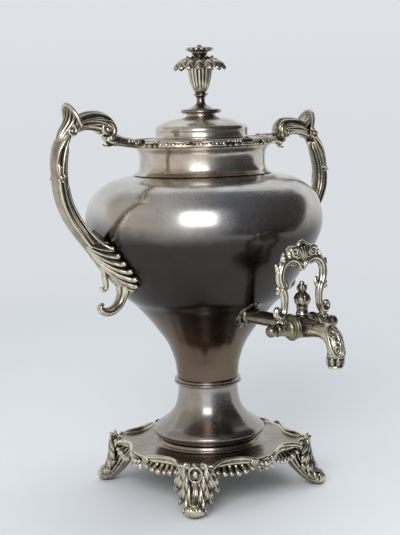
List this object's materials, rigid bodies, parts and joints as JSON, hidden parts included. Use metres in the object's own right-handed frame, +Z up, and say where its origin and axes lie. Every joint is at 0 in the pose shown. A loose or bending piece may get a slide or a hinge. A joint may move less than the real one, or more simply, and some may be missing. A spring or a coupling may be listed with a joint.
{
  "type": "samovar",
  "caption": "Vase-shaped table samovar on a footed plinth, with scroll handles, a lift-off finial lid, and a cross-plug tap turned by a loop-shaped key.",
  "frame": {"origin": "on the urn's vertical axis, at the level of the surface it stands on", "axes": "+Z up along the urn's axis, the tap points along -Y, the handles lie along +X and -X"},
  "size_m": [0.3324, 0.3123, 0.4395],
  "materials": {
    "spun_silver_plate": "spun sheet, silver plated and polished, with fine rubbed scratches and brown tarnish",
    "cast_silver_plate": "cast and chased ornament, silver plated, dark oxide left in the hollows",
    "turned_silver_plate": "turned and plated tap parts, dulled, with a little green at the joints",
    "base_metal": "unplated brass fasteners, dull"
  },
  "bodies": {
    "urn": {"body_shell": "spun_silver_plate", "body_bottom": "spun_silver_plate", "collar": "spun_silver_plate", "rim_plate": "spun_silver_plate", "rim_border": "cast_silver_plate", "stem_ring": "spun_silver_plate", "pedestal": "spun_silver_plate", "plinth_plate": "spun_silver_plate", "plinth_border_front": "cast_silver_plate", "plinth_border_back": "cast_silver_plate", "plinth_border_left": "cast_silver_plate", "plinth_border_right": "cast_silver_plate", "foot_front_left": "cast_silver_plate", "foot_front_right": "cast_silver_plate", "foot_back_left": "cast_silver_plate", "foot_back_right": "cast_silver_plate", "base_bolt": "base_metal", "base_washer": "base_metal", "base_nut": "base_metal", "handle_left_arm": "cast_silver_plate", "handle_left_grip": "cast_silver_plate", "handle_left_leaf": "cast_silver_plate", "handle_right_arm": "cast_silver_plate", "handle_right_grip": "cast_silver_plate", "handle_right_leaf": "cast_silver_plate", "tap_rose": "cast_silver_plate", "tap_shank": "turned_silver_plate", "tap_body": "turned_silver_plate", "tap_spout": "turned_silver_plate", "tap_nozzle": "turned_silver_plate", "tap_finial": "turned_silver_plate"},
    "key": {"key_plug": "turned_silver_plate", "key_nut": "turned_silver_plate", "key_ball_left": "turned_silver_plate", "key_ball_right": "turned_silver_plate", "key_pads": "cast_silver_plate", "key_loop": "cast_silver_plate"},
    "lid": {"lid_shell": "spun_silver_plate", "lid_bezel": "spun_silver_plate", "finial_disc": "spun_silver_plate", "finial_cup": "cast_silver_plate", "finial_petals": "cast_silver_plate", "finial_rosette": "cast_silver_plate", "finial_stud": "base_metal", "finial_nut": "turned_silver_plate"}
  },
  "joints": [
    {"name": "tap_turn", "type": "hinge", "parent": "urn", "child": "key", "pos_m": [0, -0.1445, 0.181], "axis": [1, 0, 0], "range_deg": [0, 75]},
    {"name": "lid_lift", "type": "slide", "parent": "urn", "child": "lid", "axis": [0, 0, 1], "range_m": [0, 0.12]}
  ]
}
